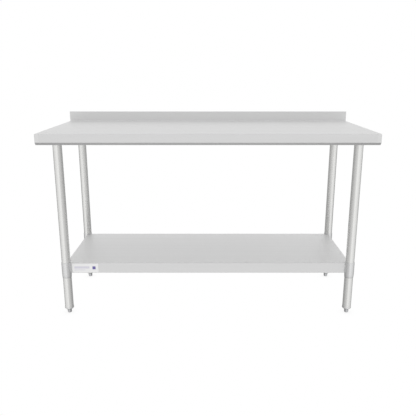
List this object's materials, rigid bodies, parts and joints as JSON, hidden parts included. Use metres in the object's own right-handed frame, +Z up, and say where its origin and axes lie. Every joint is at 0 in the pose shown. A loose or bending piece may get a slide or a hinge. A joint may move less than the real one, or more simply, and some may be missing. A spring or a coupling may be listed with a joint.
{
  "type": "stainless work table",
  "caption": "Freestanding stainless steel work table with a folded worktop, low rear upstand, tube legs, height-adjustable undershelf and levelling feet.",
  "frame": {"origin": "floor level, in the middle of the table's overall footprint", "axes": "+X to the right along the front edge, +Y from the front edge towards the upstand, +Z up"},
  "size_m": [1.524, 0.6226, 0.9398],
  "materials": {
    "worktop_steel": "satin brushed stainless sheet, grain along the length",
    "shelf_steel": "satin brushed stainless sheet, grain along the length",
    "leg_steel": "polished stainless tube, fine grain around the tube",
    "galvanised_channel": "hot-dip galvanised sheet with a soft spangle",
    "cast_alloy": "as-cast aluminium alloy",
    "collar_alloy": "tumbled die-cast aluminium alloy, fine grain",
    "foot_metal": "nickel-plated steel, satin",
    "zinc_fastener": "bright zinc-plated steel",
    "black_screw": "blackened steel",
    "glide_plastic": "moulded nylon",
    "label_vinyl": "white vinyl label, blank but for plain bars and a square"
  },
  "bodies": {
    "table_frame": {"worktop": "worktop_steel", "upstand_end_cap_left": "worktop_steel", "upstand_end_cap_right": "worktop_steel", "cross_channel_left": "galvanised_channel", "cross_channel_right": "galvanised_channel", "centre_channel": "galvanised_channel", "channel_studs": "zinc_fastener", "channel_stud_nuts": "zinc_fastener", "leg_socket_front_left": "cast_alloy", "leg_socket_front_right": "cast_alloy", "leg_socket_rear_left": "cast_alloy", "leg_socket_rear_right": "cast_alloy", "leg_socket_bolts": "zinc_fastener", "leg_socket_nuts": "zinc_fastener", "leg_socket_grub_screws": "black_screw", "leg_front_left": "leg_steel", "leg_front_right": "leg_steel", "leg_rear_left": "leg_steel", "leg_rear_right": "leg_steel", "foot_insert_front_left": "foot_metal", "foot_insert_front_right": "foot_metal", "foot_insert_rear_left": "foot_metal", "foot_insert_rear_right": "foot_metal"},
    "shelf": {"undershelf": "shelf_steel", "shelf_channel": "galvanised_channel", "shelf_collar_front_left": "collar_alloy", "shelf_collar_front_right": "collar_alloy", "shelf_collar_rear_left": "collar_alloy", "shelf_collar_rear_right": "collar_alloy", "shelf_grub_screws": "black_screw", "maker_label": "label_vinyl"},
    "foot_glide_front_left": {"foot_glide_front_left": "glide_plastic"},
    "foot_stem_front_left": {"foot_stem_front_left": "foot_metal"},
    "foot_glide_front_right": {"foot_glide_front_right": "glide_plastic"},
    "foot_stem_front_right": {"foot_stem_front_right": "foot_metal"},
    "foot_glide_rear_left": {"foot_glide_rear_left": "glide_plastic"},
    "foot_stem_rear_left": {"foot_stem_rear_left": "foot_metal"},
    "foot_glide_rear_right": {"foot_glide_rear_right": "glide_plastic"},
    "foot_stem_rear_right": {"foot_stem_rear_right": "foot_metal"}
  },
  "joints": [
    {"name": "shelf_height", "type": "slide", "parent": "table_frame", "child": "shelf", "axis": [0, 0, 1], "range_m": [-0.12, 0.4], "stiffness_N_per_m": 200000},
    {"name": "foot_lift_front_left", "type": "slide", "parent": "table_frame", "child": "foot_glide_front_left", "axis": [0, 0, -1], "range_m": [0, 0.0245]},
    {"name": "foot_turn_front_left", "type": "hinge", "parent": "foot_glide_front_left", "child": "foot_stem_front_left", "pos_m": [-0.686, -0.23535, 0], "axis": [0, 0, -1], "range_deg": [0, 5040]},
    {"name": "foot_lift_front_right", "type": "slide", "parent": "table_frame", "child": "foot_glide_front_right", "axis": [0, 0, -1], "range_m": [0, 0.0245]},
    {"name": "foot_turn_front_right", "type": "hinge", "parent": "foot_glide_front_right", "child": "foot_stem_front_right", "pos_m": [0.686, -0.23535, 0], "axis": [0, 0, -1], "range_deg": [0, 5040]},
    {"name": "foot_lift_rear_left", "type": "slide", "parent": "table_frame", "child": "foot_glide_rear_left", "axis": [0, 0, -1], "range_m": [0, 0.0245]},
    {"name": "foot_turn_rear_left", "type": "hinge", "parent": "foot_glide_rear_left", "child": "foot_stem_rear_left", "pos_m": [-0.686, 0.22265, 0], "axis": [0, 0, -1], "range_deg": [0, 5040]},
    {"name": "foot_lift_rear_right", "type": "slide", "parent": "table_frame", "child": "foot_glide_rear_right", "axis": [0, 0, -1], "range_m": [0, 0.0245]},
    {"name": "foot_turn_rear_right", "type": "hinge", "parent": "foot_glide_rear_right", "child": "foot_stem_rear_right", "pos_m": [0.686, 0.22265, 0], "axis": [0, 0, -1], "range_deg": [0, 5040]}
  ],
  "couplings": [
    {"joint": "foot_turn_front_left", "follows": "foot_lift_front_left", "rad_per_m": 3590.4},
    {"joint": "foot_turn_front_right", "follows": "foot_lift_front_right", "rad_per_m": 3590.4},
    {"joint": "foot_turn_rear_left", "follows": "foot_lift_rear_left", "rad_per_m": 3590.4},
    {"joint": "foot_turn_rear_right", "follows": "foot_lift_rear_right", "rad_per_m": 3590.4}
  ]
}
